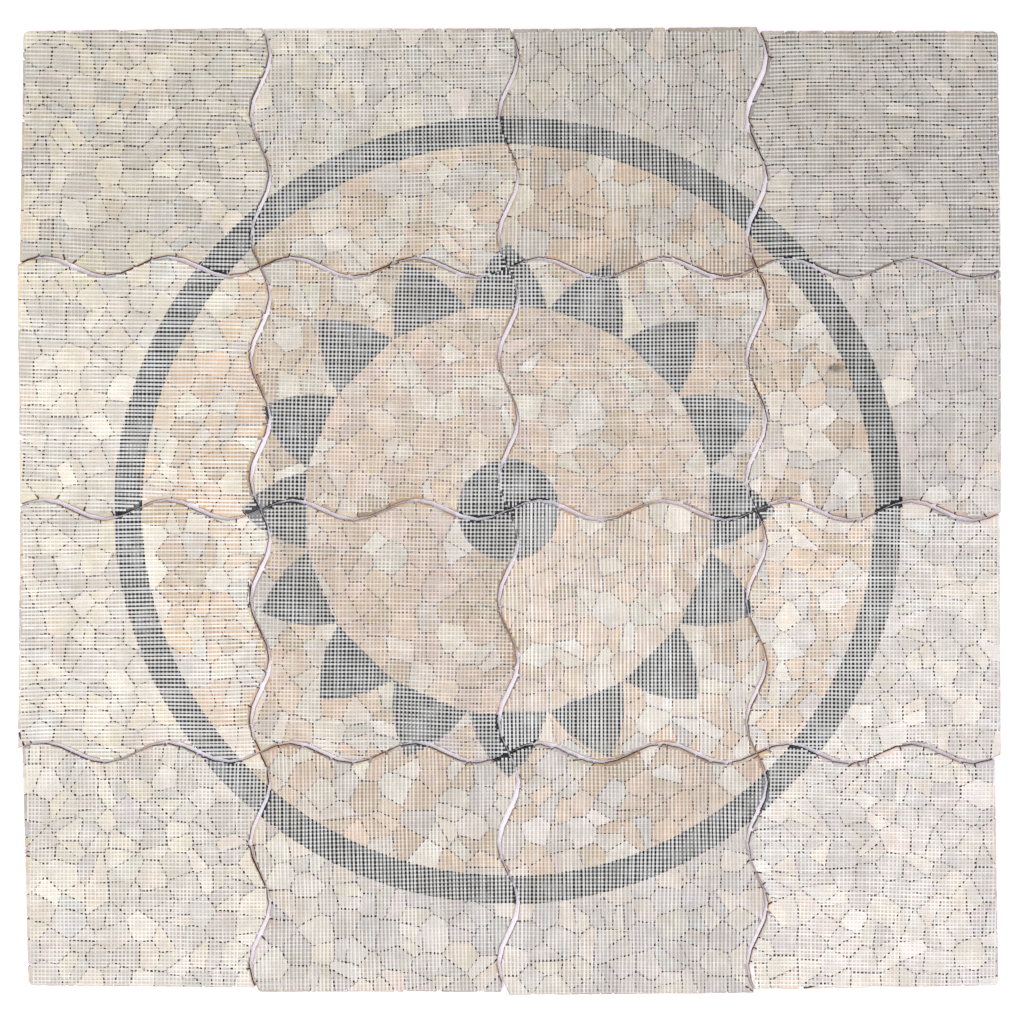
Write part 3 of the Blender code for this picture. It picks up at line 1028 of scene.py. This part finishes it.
def chip_material():
    """Pale marble, cloudy and veined, with a painted brownish shade on its sides, and hazy where
    glue covers it.
    """
    shader = Shader("marble_chips")
    own = shader.moved(shader.attribute("grain"))
    tone = shader.attribute("tone")
    clouds = shader.noise(own, 45.0, 3.0, 0.6, 0.6)
    dull = shader.tinted(tone, DULL)
    colour = shader.mix(shader.ramp(clouds, 0.3, 0.62), dull, tone)
    specks = shader.noise(own, 190.0, 2.0, 0.7)
    colour = shader.mix(shader.ramp(specks, 0.35, 0.5, 0.5, 0.0), colour, dull)
    tint = shader.noise(own, 22.0, 2.0, 0.5, 0.8)
    warm = shader.tinted(colour, WARM)
    cool = shader.tinted(colour, COOL)
    colour = shader.mix(shader.ramp(tint, 0.36, 0.64), cool, warm)
    veins = shader.noise(own, 70.0, 4.0, 0.62, 1.4)
    band = shader.absolute(shader.sums("SUBTRACT", veins, 0.5))
    colour = shader.mix(shader.ramp(band, 0.0, 0.02, 0.3, 0.0), colour, VEIN)
    stains = shader.noise(shader.coords, 13.0, 4.0, 0.7)
    colour = shader.mix(shader.ramp(stains, 0.66, 0.78, 0.0, 0.5), colour, BROWN_STAIN)
    pits = shader.noise(shader.coords, 75.0, 1.0, 0.5)
    colour = shader.mix(shader.ramp(pits, 0.8, 0.84, 0.0, 0.8), colour, PIT)
    up = shader.facing()
    pale = shader.ramp(shader.first(tone), 0.05, 0.2)
    # Painted shade: the sides of the pale stones are darkened to brown and grey.
    side = shader.sums("MULTIPLY", shader.ramp(shader.absolute(up), 0.6, 0.95, 0.9, 0.0), pale)
    brown = shader.tinted(colour, BROWN_SIDE_SHADE)
    grey = shader.tinted(colour, GREY_SIDE_SHADE)
    colour = shader.mix(side, colour, shader.mix(shader.ramp(tint, 0.4, 0.6), grey, brown))
    haze = shader.sums("MULTIPLY", glue_patches(shader), shader.ramp(up, 0.4, 0.9, 0.0, 0.5))
    colour = patched(shader, shader.mix(shader.sums("MULTIPLY", haze, pale), colour, GLUE))
    return grainy(shader, colour, own, 0.0004)


def dark_material():
    """Charcoal marble with a few fine veins, hazy where glue covers it."""
    shader = Shader("charcoal_marble", Specular_IOR_Level=0.12)
    own = shader.moved(shader.attribute("grain"))
    clouds = shader.noise(own, 60.0, 4.0, 0.65, 0.5)
    colour = shader.mix(shader.ramp(clouds, 0.3, 0.7), *DARK_CLOUDS)
    veins = shader.noise(own, 26.0, 5.0, 0.6, 1.2)
    band = shader.absolute(shader.sums("SUBTRACT", veins, 0.5))
    colour = shader.mix(shader.ramp(band, 0.0, 0.006, 0.25, 0.0), colour, DARK_VEIN)
    up = shader.facing()
    side = shader.ramp(shader.absolute(up), 0.35, 0.75, 0.6, 0.0)
    colour = shader.mix(side, colour, DARK_SIDE)
    haze = shader.sums("MULTIPLY", glue_patches(shader), shader.ramp(up, 0.4, 0.9, 0.0, 0.55))
    colour = shader.mix(haze, colour, DARK_HAZE)
    return grainy(shader, colour, own, 0.0003)


def thread_material():
    """Glass-fibre yarn soaked with glue, paler where two threads cross."""
    shader = Shader("glass_fibre_threads")
    tone = shader.attribute("tone")
    count = shader.first(shader.attribute("grain"))
    turn = shader.sums("FRACT", shader.sums("ADD", count, 0.5), 0.0)
    away = shader.absolute(shader.sums("SUBTRACT", turn, 0.5))
    knot = shader.ramp(away, 0.2, 0.28, 1.0, 0.0)
    paler = shader.ramp(shader.first(tone), 0.4, 0.52, 0.6, 0.2)
    colour = shader.mix(shader.sums("MULTIPLY", knot, paler), tone, THREAD)
    fibres = shader.noise(shader.coords, 700.0, 2.0, 0.6)
    colour = shader.mix(shader.ramp(fibres, 0.3, 0.7, 0.14, 0.0), colour, FIBRE_SHADE)
    soaked = shader.ramp(shader.noise(shader.coords, 40.0, 3.0, 0.6), 0.38, 0.62, 0.8, 0.0)
    colour = shader.mix(soaked, colour, shader.tinted(colour, SOAKED))
    soiled = shader.noise(shader.coords, 9.0, 3.0, 0.6)
    colour = shader.mix(shader.ramp(soiled, 0.45, 0.8, 0.0, 0.35), colour, SOIL)
    colour = patched(shader, colour)
    return shader.finish(colour, shader.ramp(fibres, 0.3, 0.7, 0.45, 0.65), fibres, 0.0001, 0.4)


def build_panel():
    """Builds every sheet: its chips, its dark stones and its mesh."""
    chips = chip_material()
    dark = dark_material()
    threads = thread_material()
    for row in range(SHEETS):
        for column in range(SHEETS):
            label = label_of(row, column)
            stones = build_chips(label, random.Random("chips " + label), chips)
            for node in dark_nodes(label):
                stones.append((build_dark(node, random.Random(node), dark), DARK))
            build_net(label, stones, threads)


# Stage.

# The floor glows a little, so that it comes out as pale as the photo's ground.
FLOOR_SIZE = 8.0
FLOOR_DROP = 0.0002
FLOOR_COLOUR = (0.95, 0.90, 0.99, 1)
FLOOR_ROUGHNESS = 0.8
FLOOR_GLOW = (0.92, 0.84, 1.0, 1)
FLOOR_GLOW_STRENGTH = 0.18

WORLD_LIGHT = 0.95
LAMP_POWER = 76
LAMP_SIZE = 2.5
LAMP_PLACE = (-0.7, -1.0, 3.05)

# The camera looks straight down. The view's middle is measured from the picture's.
CAMERA_HEIGHT = 2.6
SENSOR_WIDTH = 36
VIEW_WIDTH = 1.2539
VIEW_MIDDLE = Vector((0.0043, -0.0024))


def build_floor():
    half = FLOOR_SIZE / 2
    mesh = bpy.data.meshes.new("floor")
    corners = [(-half, -half, 0), (half, -half, 0), (half, half, 0), (-half, half, 0)]
    mesh.from_pydata(corners, [], [(0, 1, 2, 3)])
    floor = placed("floor", mesh)
    floor.location.z = -FLOOR_DROP
    material = bpy.data.materials.new("floor")
    material.use_nodes = True
    surface = material.node_tree.nodes["Principled BSDF"]
    surface.inputs["Base Color"].default_value = FLOOR_COLOUR
    surface.inputs["Roughness"].default_value = FLOOR_ROUGHNESS
    surface.inputs["Emission Color"].default_value = FLOOR_GLOW
    surface.inputs["Emission Strength"].default_value = FLOOR_GLOW_STRENGTH
    mesh.materials.append(material)


def build_light():
    world = bpy.data.worlds.new("studio")
    bpy.context.scene.world = world
    world.use_nodes = True
    background = world.node_tree.nodes["Background"]
    background.inputs["Color"].default_value = (1.0, 1.0, 1.0, 1)
    background.inputs["Strength"].default_value = WORLD_LIGHT
    lamp = bpy.data.lights.new("softbox", "AREA")
    lamp.energy = LAMP_POWER
    lamp.size = LAMP_SIZE
    box = placed("softbox", lamp)
    box.location = LAMP_PLACE
    box.rotation_euler = Vector(box.location).to_track_quat("Z", "Y").to_euler()


def build_camera():
    data = bpy.data.cameras.new("camera")
    data.sensor_width = SENSOR_WIDTH
    data.lens = SENSOR_WIDTH * CAMERA_HEIGHT / VIEW_WIDTH
    camera = placed("camera", data)
    camera.location = (*(PICTURE_MIDDLE + VIEW_MIDDLE), CAMERA_HEIGHT + PANEL_TOP)
    bpy.context.scene.camera = camera
    bpy.context.scene.view_settings.view_transform = "Standard"


build_camera()
build_light()
build_floor()
build_panel()
